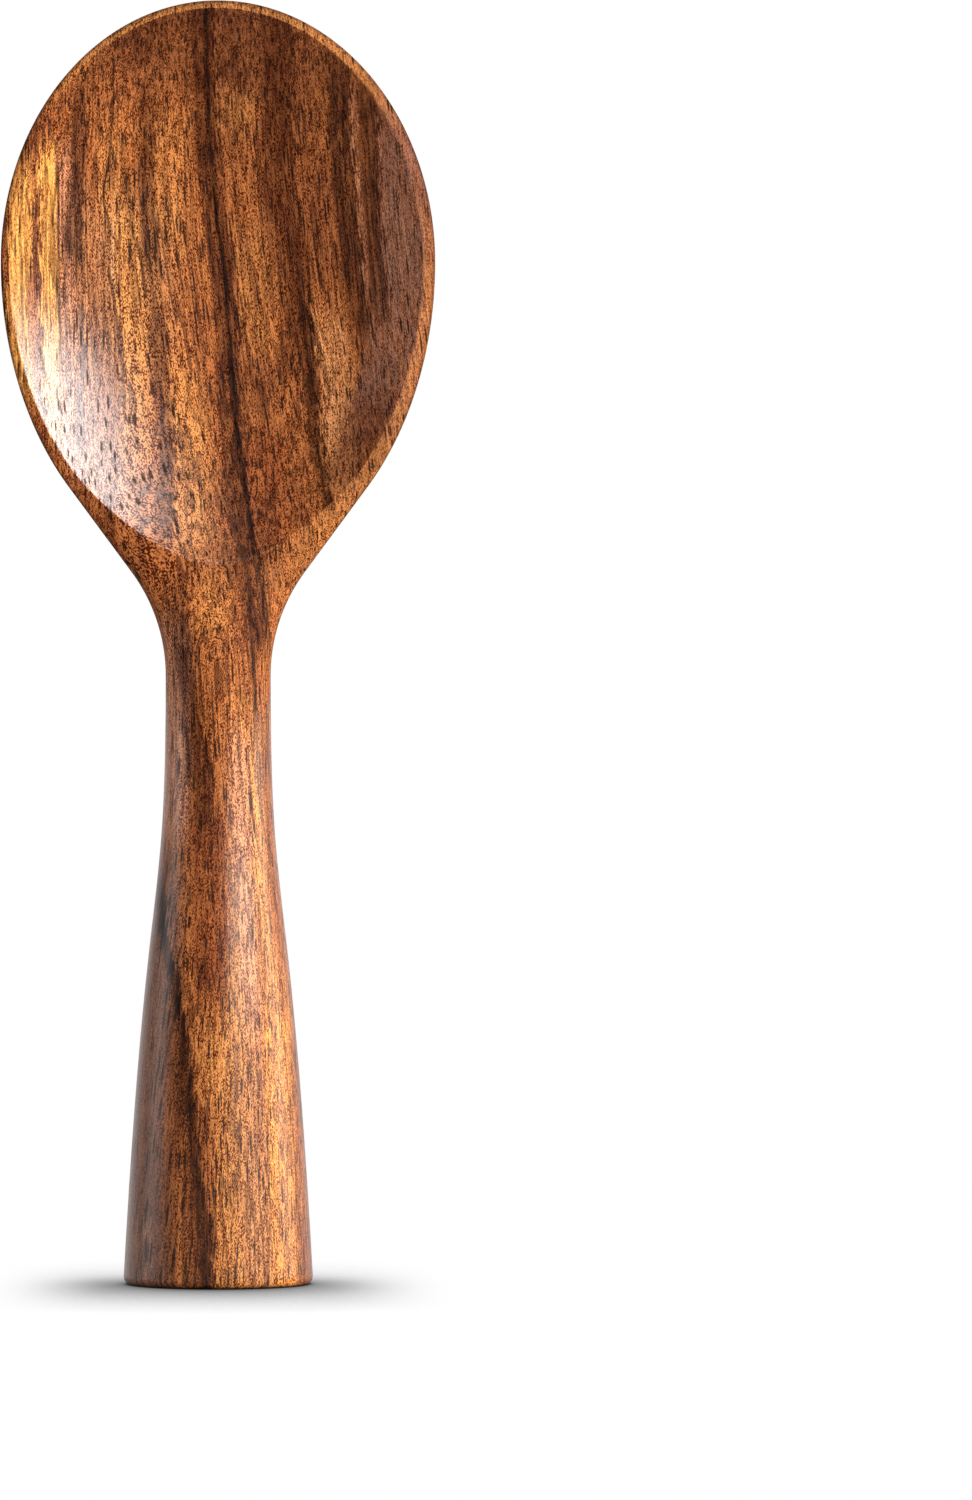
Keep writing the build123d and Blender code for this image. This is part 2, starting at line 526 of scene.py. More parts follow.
class Graph:
    """A material's node tree, built by one method for nodes and by expressions on values."""

    def __init__(self, tree: bpy.types.NodeTree) -> None:
        """Empties the tree.

        Args:
            tree: The node tree to build in.
        """
        self.tree = tree
        tree.nodes.clear()

    def node(self, kind: str, settings: dict[str, Any], sockets: dict[Any, Any]) -> bpy.types.Node:
        """Adds a node.

        Args:
            kind: The node's type.
            settings: Its properties, set first. "curve" fills a float curve, with rows of
                (in, out).
            sockets: Its input sockets, by name or number, each with a value or a link.

        Returns:
            The node.
        """
        node = self.tree.nodes.new(kind)
        for name, value in settings.items():
            if name == "curve":
                self.shape_curve(node.mapping, sorted(value))
            else:
                setattr(node, name, value)
        for name, value in sockets.items():
            socket = node.inputs[name]
            if isinstance(value, Value):
                self.tree.links.new(value.socket, socket)
            else:
                socket.default_value = value
        return node

    def shape_curve(self, mapping: bpy.types.CurveMapping, places: Sequence[Point]) -> None:
        """Moves a new curve's points, which are two at first, and adds those that it lacks.

        Args:
            mapping: The curve's mapping.
            places: The points' places, from left to right.
        """
        points = mapping.curves[0].points
        for place in places[2:]:
            points.new(*place)
        for point, place in zip(points, places):
            point.location = place
        mapping.update()

    def value(self, kind: str, settings: dict[str, Any], sockets: dict[Any, Any],
              output: Any = 0) -> "Value":
        """Adds a node and wraps one of its outputs."""
        return Value(self, self.node(kind, settings, sockets).outputs[output])

    def attribute(self, name: str) -> "Value":
        """A value that the piece's mesh holds at each vertex."""
        return self.value("ShaderNodeAttribute", {"attribute_name": name}, {}, "Fac")

    def math(self, operation: str, *terms: Any) -> "Value":
        """Adds a Math node on the given values or numbers."""
        return self.value("ShaderNodeMath", {"operation": operation}, dict(enumerate(terms)))

    def vector_math(self, operation: str, *terms: Any) -> "Value":
        """Adds a Vector Math node on the given vectors."""
        return self.value("ShaderNodeVectorMath", {"operation": operation}, dict(enumerate(terms)))

    def step(self, value: "Value", low: float, high: float) -> "Value":
        """A gentle step: 0 at low, 1 at high, smooth between, and low may be the larger.

        Args:
            value: What is compared with low and high.
            low: Where the step is 0, and it stays 0 beyond.
            high: Where the step is 1, and it stays 1 beyond.

        Returns:
            The step. The smooth kind holds itself to 0..1, so the node needs no clamp.
        """
        return self.value("ShaderNodeMapRange", {"interpolation_type": "SMOOTHSTEP", "clamp": False},
                          {"Value": value, "From Min": low, "From Max": high})

    def noise(self, place: "Value", detail: float, roughness: float) -> "Value":
        """Soft noise of about 0..1 that changes over one unit of place."""
        return self.value("ShaderNodeTexNoise", {},
                          {"Vector": place, "Scale": 1.0, "Detail": detail, "Roughness": roughness})

    def mix(self, share: Any, first: Any, second: Any) -> "Value":
        """Mixes two colours by a share. The numbers are those of the node's colour sockets."""
        return self.value("ShaderNodeMix", {"data_type": "RGBA"}, {0: share, 6: first, 7: second}, 2)


class Value:
    """A socket of a graph. Python's operators on it add Math nodes."""

    def __init__(self, graph: Graph, socket: bpy.types.NodeSocket) -> None:
        """Wraps an output socket.

        Args:
            graph: The graph that the socket belongs to.
            socket: The output socket.
        """
        self.graph, self.socket = graph, socket

    def __add__(self, other: Any) -> "Value":
        """This plus other."""
        return self.graph.math("ADD", self, other)

    def __radd__(self, other: Any) -> "Value":
        """Other plus this."""
        return self.graph.math("ADD", other, self)

    def __sub__(self, other: Any) -> "Value":
        """This less other."""
        return self.graph.math("SUBTRACT", self, other)

    def __rsub__(self, other: Any) -> "Value":
        """Other less this."""
        return self.graph.math("SUBTRACT", other, self)

    def __mul__(self, other: Any) -> "Value":
        """This times other."""
        return self.graph.math("MULTIPLY", self, other)

    def __rmul__(self, other: Any) -> "Value":
        """Other times this."""
        return self.graph.math("MULTIPLY", other, self)

    def __abs__(self) -> "Value":
        """This without its sign."""
        return self.graph.math("ABSOLUTE", self)

    def __or__(self, other: Any) -> "Value":
        """The larger of this and other, as when two marks overlap."""
        return self.graph.math("MAXIMUM", self, other)


@dataclass(frozen=True)
class Streak:
    """A streak of colour, as seen from the bowl's side: most show the wood's figure, and a few are
    painted light and shade.

    Attributes:
        tone: Its tone.
        path: Its middle line, as (x, z) in millimetres.
        half: Half its width.
        blur: The share of its half width over which it fades on each side.
        strength: How fully it covers what lies under it.
        tail: The length over which each end fades.
    """

    tone: Tone
    path: tuple[Point, ...]
    half: float
    blur: float
    strength: float
    tail: float = 8.0


# Each row: a tone, the middle line as (x, z), half the width, and the blur, strength and tail.
# Broad soft zones come first: where the wood as a whole is lighter, darker or redder, and where light and
# shade are painted, as marked at each.
ZONES = (
    # Painted shade: the next three darken the head's top and its upper right, where the bowl turns away
    # from the light.
    Streak(Tone.COCOA, ((12, 215), (15, 195), (18, 178), (22, 160)), 13.0, 0.9, 0.65, 12),
    Streak(Tone.COCOA, ((-4, 215), (-3, 194)), 22.0, 0.8, 0.65, 12),
    Streak(Tone.UMBER, ((-2, 215), (4, 206)), 15.0, 0.9, 0.5, 12),
    Streak(Tone.COCOA, ((3, 215), (2.6, 202), (-0.2, 190), (0.4, 180)), 3.4, 0.7, 0.6, 12),
    Streak(Tone.AMBER, ((-0.6, 124), (-0.4, 106)), 2.6, 0.7, 0.6, 7),
    Streak(Tone.COCOA, ((14, 160), (14, 136), (13, 122)), 9.0, 0.8, 0.45, 9),
    Streak(Tone.COCOA, ((4.4, 180), (6.0, 166), (6.4, 148), (6.0, 140)), 3.0, 0.8, 0.5, 10),
    Streak(Tone.COCOA, ((-2.4, 156), (-1.8, 138)), 1.3, 0.7, 0.5, 7),
    Streak(Tone.COCOA, ((-9.6, 28), (-9.0, 0)), 2.4, 0.7, 0.5, 9),
    Streak(Tone.COCOA, ((2, 128), (3, 114)), 9.0, 0.8, 0.4, 6),
    Streak(Tone.TAN, ((-16, 190), (-15, 146)), 8.0, 0.8, 0.8, 14),
    Streak(Tone.RUST, ((-27, 208), (-30, 198), (-33, 188)), 4.0, 0.8, 0.5),
    Streak(Tone.RUST, ((-20.0, 206), (-20.2, 180), (-19.0, 160), (-18, 142)), 2.4, 0.7, 0.3),
    Streak(Tone.AMBER, ((-9.0, 200), (-8.0, 184), (-6.5, 170)), 3.0, 0.8, 0.4, 10),
    Streak(Tone.AMBER, ((-15.4, 186), (-14.6, 174), (-14.0, 162), (-13.8, 148), (-13, 132)),
           2.4, 0.7, 0.85, 12),
    Streak(Tone.AMBER, ((-6.0, 158), (-4.8, 142), (-4.0, 118)), 3.0, 0.7, 0.85, 10),
    Streak(Tone.AMBER, ((-18.2, 198), (-17.8, 176)), 2.2, 0.7, 0.5, 8),
    Streak(Tone.AMBER, ((2.5, 203), (3.4, 190)), 3.2, 0.8, 0.35, 6),
    Streak(Tone.AMBER, ((5.5, 180), (7.0, 166), (9.0, 152)), 3.0, 0.7, 0.3, 8),
    Streak(Tone.TAN, ((18.2, 168), (19.4, 158), (20.6, 146), (20.4, 128)), 2.8, 0.5, 0.8, 12),
    Streak(Tone.TAN, ((31.2, 186), (31.2, 164)), 1.6, 0.6, 0.5, 9),
    # Painted reflection: a pale mauve veil on the bowl's right wall, where the surround is mirrored.
    Streak(Tone.MAUVE_REFLECTION, ((30.5, 204), (31.2, 182), (30.6, 166), (28.0, 152), (24.8, 136)),
           4.4, 0.5, 0.9, 12),
    Streak(Tone.COCOA, ((27.0, 152), (24.0, 140), (21.6, 130)), 4.0, 0.7, 0.8, 8),
    Streak(Tone.PLUM, ((28.0, 160), (27.0, 152), (24.0, 140), (21.6, 130)), 4.2, 0.7, 0.32, 8),
    Streak(Tone.RUST, ((8.6, 146), (8.0, 134), (8.2, 119)), 3.8, 0.5, 0.75, 7),
    Streak(Tone.COCOA, ((7.2, 136), (7.4, 119)), 2.8, 0.7, 0.5, 6),
    # Partly painted reflection: the veil down the handle's left, over the wood's own mauve-brown, lighter
    # salmon at its top.
    Streak(Tone.MAUVE_REFLECTION, ((-8.4, 78), (-9.4, 60), (-11.2, 40), (-12.4, 0)), 3.4, 0.5, 0.75, 12),
    Streak(Tone.SALMON, ((-7.4, 116), (-6.8, 100), (-7.0, 86), (-7.7, 70)), 2.3, 0.5, 1.0, 10),
    # Partly painted highlight: amber brightening the handle's right, where the light falls, over its own
    # tone.
    Streak(Tone.AMBER, ((4.6, 104), (5.0, 88), (5.2, 70), (4.0, 50), (2.8, 30), (2.2, 0)),
           2.7, 0.6, 0.75, 14),
    Streak(Tone.TAN, ((7.4, 46), (7.0, 24), (7.4, 0)), 2.2, 0.6, 0.7, 14),
    Streak(Tone.RUST, ((-1.5, 84), (-1.3, 66), (-1.0, 52), (-0.4, 44)), 2.8, 0.4, 0.8, 9),
    Streak(Tone.AMBER, ((-0.6, 48), (-0.4, 38), (0.4, 26)), 2.6, 0.6, 0.6, 8),
    Streak(Tone.RUST, ((13.2, 60), (14.6, 30), (15.2, 0)), 1.3, 0.5, 0.12, 12),
)

# Streaks with an edge: the sapwood's gold, the dark heart lines and what lies between them.
STREAKS = (
    Streak(Tone.GOLD, ((-32.4, 192), (-33.0, 180), (-33.3, 160), (-32.8, 151.6), (-31.4, 144)),
           1.9, 0.3, 0.95, 10),
    Streak(Tone.GOLD, ((-28.2, 194), (-28.2, 180), (-28.1, 164), (-27.8, 152), (-27.0, 138)),
           1.5, 0.35, 0.95),
    # Partly painted sheen: the pale lower end of this sapwood, on the bowl's polished lower left.
    Streak(Tone.PALE, ((-28.2, 164), (-27.8, 152), (-27.2, 140)), 0.9, 0.5, 0.6),
    Streak(Tone.COCOA, ((-30.7, 200), (-30.6, 186), (-30.0, 168), (-29.7, 152), (-28.8, 140)),
           0.5, 0.5, 0.55),
    Streak(Tone.SALMON, ((-25.6, 194), (-25.5, 170), (-25.0, 150), (-23.6, 132)), 1.3, 0.5, 0.6),
    Streak(Tone.PLUM, ((-22.2, 206), (-23.1, 194), (-23.8, 183.5), (-23.6, 175), (-23.0, 165)),
           1.2, 0.6, 0.85, 9),
    Streak(Tone.PLUM, ((-23.2, 170), (-22.8, 160), (-22.6, 154), (-23.3, 146), (-23.1, 136)),
           0.5, 0.7, 0.75),
    Streak(Tone.PLUM, ((-26.6, 179), (-25.1, 175), (-23.2, 170.5)), 0.9, 0.7, 0.8, 4),
    Streak(Tone.UMBER, ((-13.0, 214), (-12.6, 202)), 4.2, 0.9, 0.6, 7),
    Streak(Tone.UMBER, ((-11.6, 204), (-11.7, 192), (-11.4, 184), (-10.7, 175), (-10.2, 165)),
           1.6, 0.8, 0.65, 8),
    Streak(Tone.UMBER, ((-2.5, 215), (-2.0, 196), (-1.3, 189), (-0.2, 182), (0.7, 176), (2.1, 165),
                        (2.4, 154), (2.7, 144), (3.2, 132), (5.0, 121), (6.0, 112), (6.6, 102)),
           2.0, 0.35, 0.85),
    Streak(Tone.UMBER, ((-9.5, 170), (-9.5, 159), (-8.8, 149), (-8.5, 139), (-8.6, 130),
                        (-8.0, 121)),
           1.4, 0.7, 0.75, 9),
    Streak(Tone.UMBER, ((10.1, 215), (10.1, 200), (10.5, 190), (11.6, 181), (13.0, 174),
                        (13.6, 166), (13.2, 157), (12.4, 146)),
           2.6, 0.4, 0.8, 12),
    Streak(Tone.BARK, ((13.6, 169), (15.8, 156.5), (16.0, 148.6), (16.4, 141), (17.8, 134),
                       (19.4, 126)),
           1.1, 0.6, 0.85, 6),
    Streak(Tone.PLUM, ((20.3, 210), (20.7, 196), (21.3, 184), (22.6, 175), (23.4, 165),
                       (24.6, 152)),
           2.0, 0.4, 0.85, 10),
    Streak(Tone.PLUM, ((24.8, 206), (25.3, 196), (25.6, 182), (26.6, 170), (28.0, 156)),
           1.7, 0.4, 0.8, 10),
    Streak(Tone.SALMON, ((22.6, 203), (22.9, 192), (23.6, 184), (24.4, 174), (25.6, 162)),
           0.4, 0.6, 0.5),
    Streak(Tone.UMBER, ((-6.6, 122), (-6.1, 112), (-5.4, 104), (-4.4, 98), (-3.2, 91), (-2.0, 80),
                        (-1.6, 72)),
           1.5, 0.6, 0.8),
    Streak(Tone.OCHRE, ((6.6, 88), (7.2, 78), (8.0, 66), (9.2, 54), (9.7, 44)), 1.1, 0.5, 0.8, 10),
    Streak(Tone.OCHRE, ((9.2, 56), (9.9, 44), (10.3, 30), (10.9, 14), (11.3, 0)),
           2.1, 0.35, 0.95, 10),
    Streak(Tone.HONEY, ((-5.4, 30), (-5.4, 14), (-5.8, 6), (-6.2, 0)), 1.1, 0.6, 0.6, 7),
    # Painted highlight: a smooth, pale salmon band down the handle's right.
    Streak(Tone.SALMON, ((3.2, 98), (3.8, 84), (4.8, 66), (5.6, 50), (6.0, 36)), 1.5, 0.5, 0.6, 12),
    Streak(Tone.RUST, ((7.6, 96), (8.0, 82), (9.4, 62), (10.9, 48)), 0.8, 0.6, 0.6, 10),
    Streak(Tone.BARK, ((-20.7, 127), (-19.0, 122.4)), 0.9, 0.8, 0.6, 2),
    Streak(Tone.SALMON, ((-11.4, 13), (-11.7, 0)), 0.5, 0.6, 0.45, 5),
    Streak(Tone.BARK, ((-9.6, 72), (-9.1, 61), (-8.4, 56), (-6.8, 48), (-5.8, 40), (-5.0, 34)),
           0.9, 0.5, 1.0),
    Streak(Tone.UMBER, ((-7.4, 50), (-6.2, 37), (-5.0, 26), (-3.6, 10), (-2.8, 0)),
           2.2, 0.8, 0.6, 10),
    Streak(Tone.BARK, ((-6.2, 43), (-5.4, 37), (-4.4, 26), (-3.2, 18), (-2.2, 10), (-1.8, 0)),
           1.1, 0.5, 0.8),
    Streak(Tone.BARK, ((3.4, 30), (3.2, 22)), 0.55, 0.8, 0.6, 3),
)

# Hairlines: thin dark lines, and a pale one.
HAIRLINES = (
    Streak(Tone.BARK, ((-32.7, 188), (-32.9, 172), (-32.3, 152)), 0.18, 0.8, 0.5),
    Streak(Tone.BARK, ((-26.9, 192), (-26.8, 174), (-26.6, 160), (-26.4, 146)), 0.24, 0.8, 0.7),
    Streak(Tone.BARK, ((-17.6, 210), (-17.6, 197), (-18.3, 187.7), (-19.0, 182), (-18.0, 178),
                       (-17.6, 172)),
           0.22, 0.8, 0.85),
    Streak(Tone.BARK, ((-18.7, 175), (-17.5, 167.6), (-16.6, 161), (-15.9, 154), (-15.4, 144)),
           0.3, 0.8, 0.8),
    Streak(Tone.BARK, ((-15.2, 190), (-14.7, 183), (-14.0, 178), (-12.4, 172), (-11.8, 162)),
           0.26, 0.8, 0.6),
    Streak(Tone.BARK, ((-11.7, 184), (-11.2, 176), (-10.7, 171), (-9.8, 163)), 0.3, 0.9, 0.75),
    Streak(Tone.BARK, ((-2.0, 213), (-1.5, 196), (0.0, 182), (1.9, 168.4), (2.7, 156.6), (3.4, 143),
                       (5.2, 128.3), (6.3, 121), (7.8, 114), (8.4, 104)),
           0.42, 0.8, 0.95),
    Streak(Tone.BARK, ((-5.0, 212), (-5.0, 196), (-4.2, 186), (-2.6, 174), (-1.0, 164)),
           0.2, 0.8, 0.35),
    Streak(Tone.PALE, ((-16.9, 180), (-17.3, 172), (-16.8, 165)), 0.18, 0.8, 0.3, 4),
    Streak(Tone.BARK, ((-5.6, 96), (-4.9, 90), (-4.4, 82)), 0.38, 0.8, 0.7, 4),
    Streak(Tone.BARK, ((5.4, 110), (6.2, 100), (7.0, 92)), 0.27, 0.8, 0.75, 4),
    Streak(Tone.BARK, ((5.1, 84), (5.6, 78)), 0.3, 0.8, 0.8, 2),
    Streak(Tone.BARK, ((4.6, 18), (4.8, 8)), 0.33, 0.8, 0.6, 4),
    Streak(Tone.BARK, ((4.0, 126), (5.2, 116), (5.8, 108), (6.6, 100)), 0.33, 0.8, 0.75),
)


@dataclass(frozen=True)
class Grain:
    """One scale of the wood's texture.

    Attributes:
        across: Repeats in a millimetre across the fibres.
        along: Repeats in a millimetre along them.
        low: The noise that counts as 0.
        high: The noise that counts as 1.
        detail: How many finer layers it has.
        harsh: How strongly the finer layers show.
    """

    across: float
    along: float
    low: float = 0.38
    high: float = 0.62
    detail: float = 2.0
    harsh: float = 0.5


@dataclass(frozen=True)
class Cells:
    """A net of cells in the wood, each with a rounded mark in its middle.

    Attributes:
        repeats: Cells in a millimetre along x, y and z.
        fade: The distances from a cell's middle at which its mark is gone and at which it is full.
    """

    repeats: tuple[float, float, float]
    fade: Span


@dataclass
class WoodPoint:
    """A point of the wood, as sockets of the material's graph.

    Attributes:
        x: Its place across the head, in millimetres.
        z: Its height, in millimetres.
        along: Its place in the leaning grain, as a vector in millimetres.
        streak_x: Its x among the streaks, whose edges sway.
        hairline_x: Its x among the hairlines, which sway less.
        fibre, thread, speckle: The texture there at three scales, each 0..1.
        glint: How brightly the curl's painted glints show there.
        patch, band: The broad blotches and bands there, each 0..1.
    """

    x: Value
    z: Value
    along: Value
    streak_x: Value
    hairline_x: Value
    fibre: Value
    thread: Value
    speckle: Value
    glint: Value
    patch: Value
    band: Value


@dataclass(frozen=True)
class Regions:
    """Where the wood differs over the paddle. A span is a gentle step along x, z or sheen_slope."""

    handle_left_below: Span = (110.0, 90.0)
    handle_left_beyond: Span = (-4.0, -9.0)
    left_of_right_wall: Span = (26.0, 16.0)
    head_above: Span = (112.0, 126.0)
    crown_above: Span = (190.0, 205.0)
    right_rim_beyond: Span = (0.0, 18.0)
    right_rim_below: Span = (186.0, 160.0)
    stipple_above: Span = (168.0, 190.0)
    stipple_left_of: Span = (26.0, 18.0)
    stipple_right_of: Span = (-28.0, -16.0)
    calm_above: Span = (188.0, 206.0)
    calm_right_of: Span = (-16.0, -4.0)
    grip_above: Span = (94.0, 106.0)
    grip_below: Span = (124.0, 114.0)
    sheen_slope: tuple[float, float] = (0.84, 0.545)
    sheen_within: Span = (79.0, 63.0)
    sheen_below: Span = (172.0, 146.0)

    def lively(self, graph: Graph, at: WoodPoint) -> Value:
        """1 where the texture is strong: all but the right wall and the handle's left side.

        Args:
            graph: The material's graph.
            at: The point.

        Returns:
            A value of 0..1.
        """
        left_of_handle = (graph.step(at.z, *self.handle_left_below)
                          * graph.step(at.x, *self.handle_left_beyond))
        return graph.step(at.x, *self.left_of_right_wall) * (1 - left_of_handle)

    def right_rim(self, graph: Graph, at: WoodPoint) -> Value:
        """1 at the right, from the foot up to just above the widest height, where the rim is painted lit.
        """
        return graph.step(at.x, *self.right_rim_beyond) * graph.step(at.z, *self.right_rim_below)

    def stippled(self, graph: Graph, at: WoodPoint) -> Value:
        """1 where the curl's painted glints show: at the head's top, and in the middle at every height.
        """
        return graph.step(at.z, *self.stipple_above) | (
            graph.step(at.x, *self.stipple_left_of) * graph.step(at.x, *self.stipple_right_of))

    def calm(self, graph: Graph, at: WoodPoint) -> Value:
        """1 where the texture is evened out, at the top of the head."""
        return graph.step(at.z, *self.calm_above) * graph.step(at.x, *self.calm_right_of)

    def grip(self, graph: Graph, at: WoodPoint) -> Value:
        """1 round the neck, which a hand rubs dull."""
        return graph.step(at.z, *self.grip_above) * graph.step(at.z, *self.grip_below)

    def sheen(self, graph: Graph, at: WoodPoint, land: Value) -> Value:
        """1 on the bowl's lower left wall, inside the rim and left of a slanting line.

        Args:
            graph: The material's graph.
            at: The point.
            land: 1 on the rim and 0 inside the bowl.

        Returns:
            A value of 0..1.
        """
        across, up = self.sheen_slope
        return ((1 - land) * graph.step(at.x * across + at.z * up, *self.sheen_within)
                * graph.step(at.z, *self.sheen_below))


@dataclass(frozen=True)
class OilFinish:
    """A satin oil finish: a low sheen all over, polished in the bowl and dull where it is rubbed.

    A field named "of" a texture weighs that texture, and "least" is what is there without it.
    """

    roughness: float = 0.32
    roughness_of_fibre: float = 0.12
    roughness_of_pores: float = 0.2
    roughness_of_wear: float = 0.35
    relief_of_fibre: float = 0.4
    relief_of_speckle: float = 0.6
    relief_depth: float = 0.028
    relief_strength: float = 0.6
    polish_of_speckle: float = 0.5
    polish_of_fibre: float = 0.35
    polish_least: float = 0.45
    polish_lost_in_pores: float = 0.8
    handle_below: Span = (100.0, 84.0)
    handle_polish: float = 0.26
    wood_ior: float = 1.5
    wood_specular: float = 0.1
    oil_roughness: float = 0.28
    oil_ior: float = 1.85

    def build(self, graph: Graph, at: WoodPoint, colour: Value, pores: Value,
              worn: Value, sheen: Value) -> None:
        """Joins the figure to the finish and to the material's output.

        Args:
            graph: The material's graph.
            at: The point.
            colour: The wood's colour.
            pores: 1 in an open pore.
            worn: 1 where the oil is rubbed dull.
            sheen: 1 where the wood is polished.
        """
        handle = graph.step(at.z, *self.handle_below)
        relief = at.fibre * self.relief_of_fibre + at.speckle * self.relief_of_speckle - pores
        normal = graph.value("ShaderNodeBump", {}, {
            "Strength": self.relief_strength, "Distance": self.relief_depth * MM, "Height": relief})
        roughness = (self.roughness + (at.fibre - EVEN) * self.roughness_of_fibre
                     + pores * self.roughness_of_pores + worn * self.roughness_of_wear)
        polish = sheen * (1 - pores * self.polish_lost_in_pores) * (
            at.speckle * self.polish_of_speckle + at.fibre * self.polish_of_fibre + self.polish_least)
        polish = polish | (handle * self.handle_polish)
        shader = graph.value("ShaderNodeBsdfPrincipled", {}, {
            "Base Color": colour, "Roughness": roughness, "Normal": normal, "IOR": self.wood_ior,
            "Specular IOR Level": self.wood_specular, "Coat Weight": polish,
            "Coat Roughness": self.oil_roughness, "Coat IOR": self.oil_ior})
        graph.node("ShaderNodeOutputMaterial", {}, {"Surface": shader})


@dataclass(frozen=True)
class CarvedWood:
    """An oiled, satin hardwood whose figure runs through its whole thickness.

    A field named "of" a texture weighs that texture, "least" is what is there without it, and
    "shown" says how strongly a tone covers what lies under it.
    """

    ground: Tone = Tone.HONEY
    # The tone of the rim's painted light.
    rim_tone: Tone = Tone.AMBER
    regions: Regions = Regions()
    finish: OilFinish = OilFinish()

    # The grain leans to the right on its way down, and less so at the head's left.
    lean: tuple[Point, ...] = ((0, 10.5), (100, 10.5), (120, 9), (150, 5.5), (180, 2), (215, 0))
    lean_right_of: Span = (-20.0, -4.0)
    lean_least: float = 0.1
    curve_span: float = 80.0
    through_tilt: float = 0.35

    # The texture's scales, from the broadest to the finest.
    wander: Grain = Grain(0.09, 0.035, 0.0, 1.0)
    patch: Grain = Grain(0.12, 0.07, 0.42, 0.62)
    band: Grain = Grain(0.3, 0.012, 0.35, 0.65)
    ring: Grain = Grain(0.34, 0.012, 0.0, 1.0)
    tremble: Grain = Grain(0.8, 0.14, 0.0, 1.0)
    thread: Grain = Grain(1.3, 0.09)
    fibre: Grain = Grain(2.8, 0.26, 0.36, 0.64)
    speckle: Grain = Grain(9.0, 2.8, 0.34, 0.66, 0.0, 0.5)

    # How far the figure's lines sway, in millimetres.
    wander_sway: float = 0.7
    streak_tremble_sway: float = 0.9
    streak_fibre_sway: float = 0.9
    hairline_tremble_sway: float = 0.6

    # Bands, patches, streaks and hairlines.
    band_shown: float = 0.35
    patch_shown: float = 0.3
    blur_scale: float = 0.8
    streak_of_thread: float = 0.35
    streak_least: float = 0.7
    hairline_of_thread: float = 0.5
    hairline_least: float = 0.6

    # Growth lines: each rises at once and falls away slowly, in shares of a ring.
    ring_count: float = 7.0
    ring_rise: Span = (0.0, 0.04)
    ring_fall: Span = (0.6, 0.09)
    ring_of_lively: float = 0.55
    ring_elsewhere: float = 0.2
    ring_of_thread: float = 0.5
    ring_of_fibre: float = 0.3
    ring_least: float = 0.3

    # The rim: painted shade makes it redder at the left, and painted light makes it more golden at the
    # lower right and at the top.
    left_rim_painted_shade: float = 0.3
    right_rim_painted_light: float = 0.3
    crown_rim_painted_light: float = 0.45

    # The light and shade of the finest texture, which multiply the figure's colour: the grain's own, with
    # the curl's painted glints, and a pale bright end that is partly painted highlight.
    glint_cells: Cells = Cells((2.3, 2.3, 1.4), (0.68, 0.1))
    glint_of_cell: float = 0.9
    glint_least: float = 0.25
    glint_of_stipple: float = 0.7
    glint_elsewhere: float = 0.3
    light_of_speckle: float = 0.8
    light_of_fibre: float = 0.5
    light_of_glint: float = 0.25
    light_even: float = 0.47
    contrast_of_lively: float = 1.05
    contrast_elsewhere: float = 0.8
    contrast_lost_in_calm: float = 0.4
    contrast_lost_in_sapwood: float = 0.65
    darkest: Colour = (0.24, 0.11, 0.06, 1.0)
    brightest: Colour = (1.75, 2.1, 2.7, 1.0)

    # Open pores, and the dark line painted along the outline where the surface turns away from the light:
    # painted shade.
    pore_cells: Cells = Cells((1.8, 1.8, 0.15), (0.42, 0.2))
    pore_chosen: Span = (0.2, 0.6)
    pore_shown: float = 0.88
    outline_painted_shade: float = 0.6

    def build(self, name: str, height: float) -> bpy.types.Material:
        """Makes the material.

        Args:
            name: The material's name.
            height: The paddle's height.

        Returns:
            The material.
        """
        material = bpy.data.materials.new(name)
        material.use_nodes = True
        graph = Graph(material.node_tree)
        at = self.sample(graph, height)

        colour = graph.mix(at.band * self.band_shown, self.ground.linear, Tone.COCOA.linear)
        colour = graph.mix(at.patch * self.patch_shown, colour, Tone.RUST.linear)
        cover = at.thread * self.streak_of_thread + self.streak_least
        colour, sapwood = self.laid(graph, at.streak_x, at.z, colour, ZONES + STREAKS, cover, height)
        line = self.growth_line(graph, at)
        lively = self.regions.lively(graph, at)
        line = line * (lively * self.ring_of_lively + self.ring_elsewhere)
        colour = graph.mix(line, colour, Tone.UMBER.linear)
        cover = at.thread * self.hairline_of_thread + self.hairline_least
        colour, _ = self.laid(graph, at.hairline_x, at.z, colour, HAIRLINES, cover, height)

        land = graph.attribute("land")
        rim = land * graph.step(at.z, *self.regions.head_above)
        # Painted light and shade on the rim: lit at the right and top, shaded at the left.
        colour = self.paint_rim_light_and_shade(graph, at, colour, rim)
        pores = self.pores(graph, at.along)
        colour = self.shaded(graph, at, colour, lively, sapwood)
        colour = graph.mix(pores * self.pore_shown, colour, Tone.BARK.linear)
        # Painted shade: a dark line along the outline, where the surface turns away.
        colour = graph.mix(graph.attribute("edge") * self.outline_painted_shade, colour, Tone.BARK.linear)
        worn = rim | self.regions.grip(graph, at)
        sheen = self.regions.sheen(graph, at, land)
        self.finish.build(graph, at, colour, pores, worn, sheen)
        return material

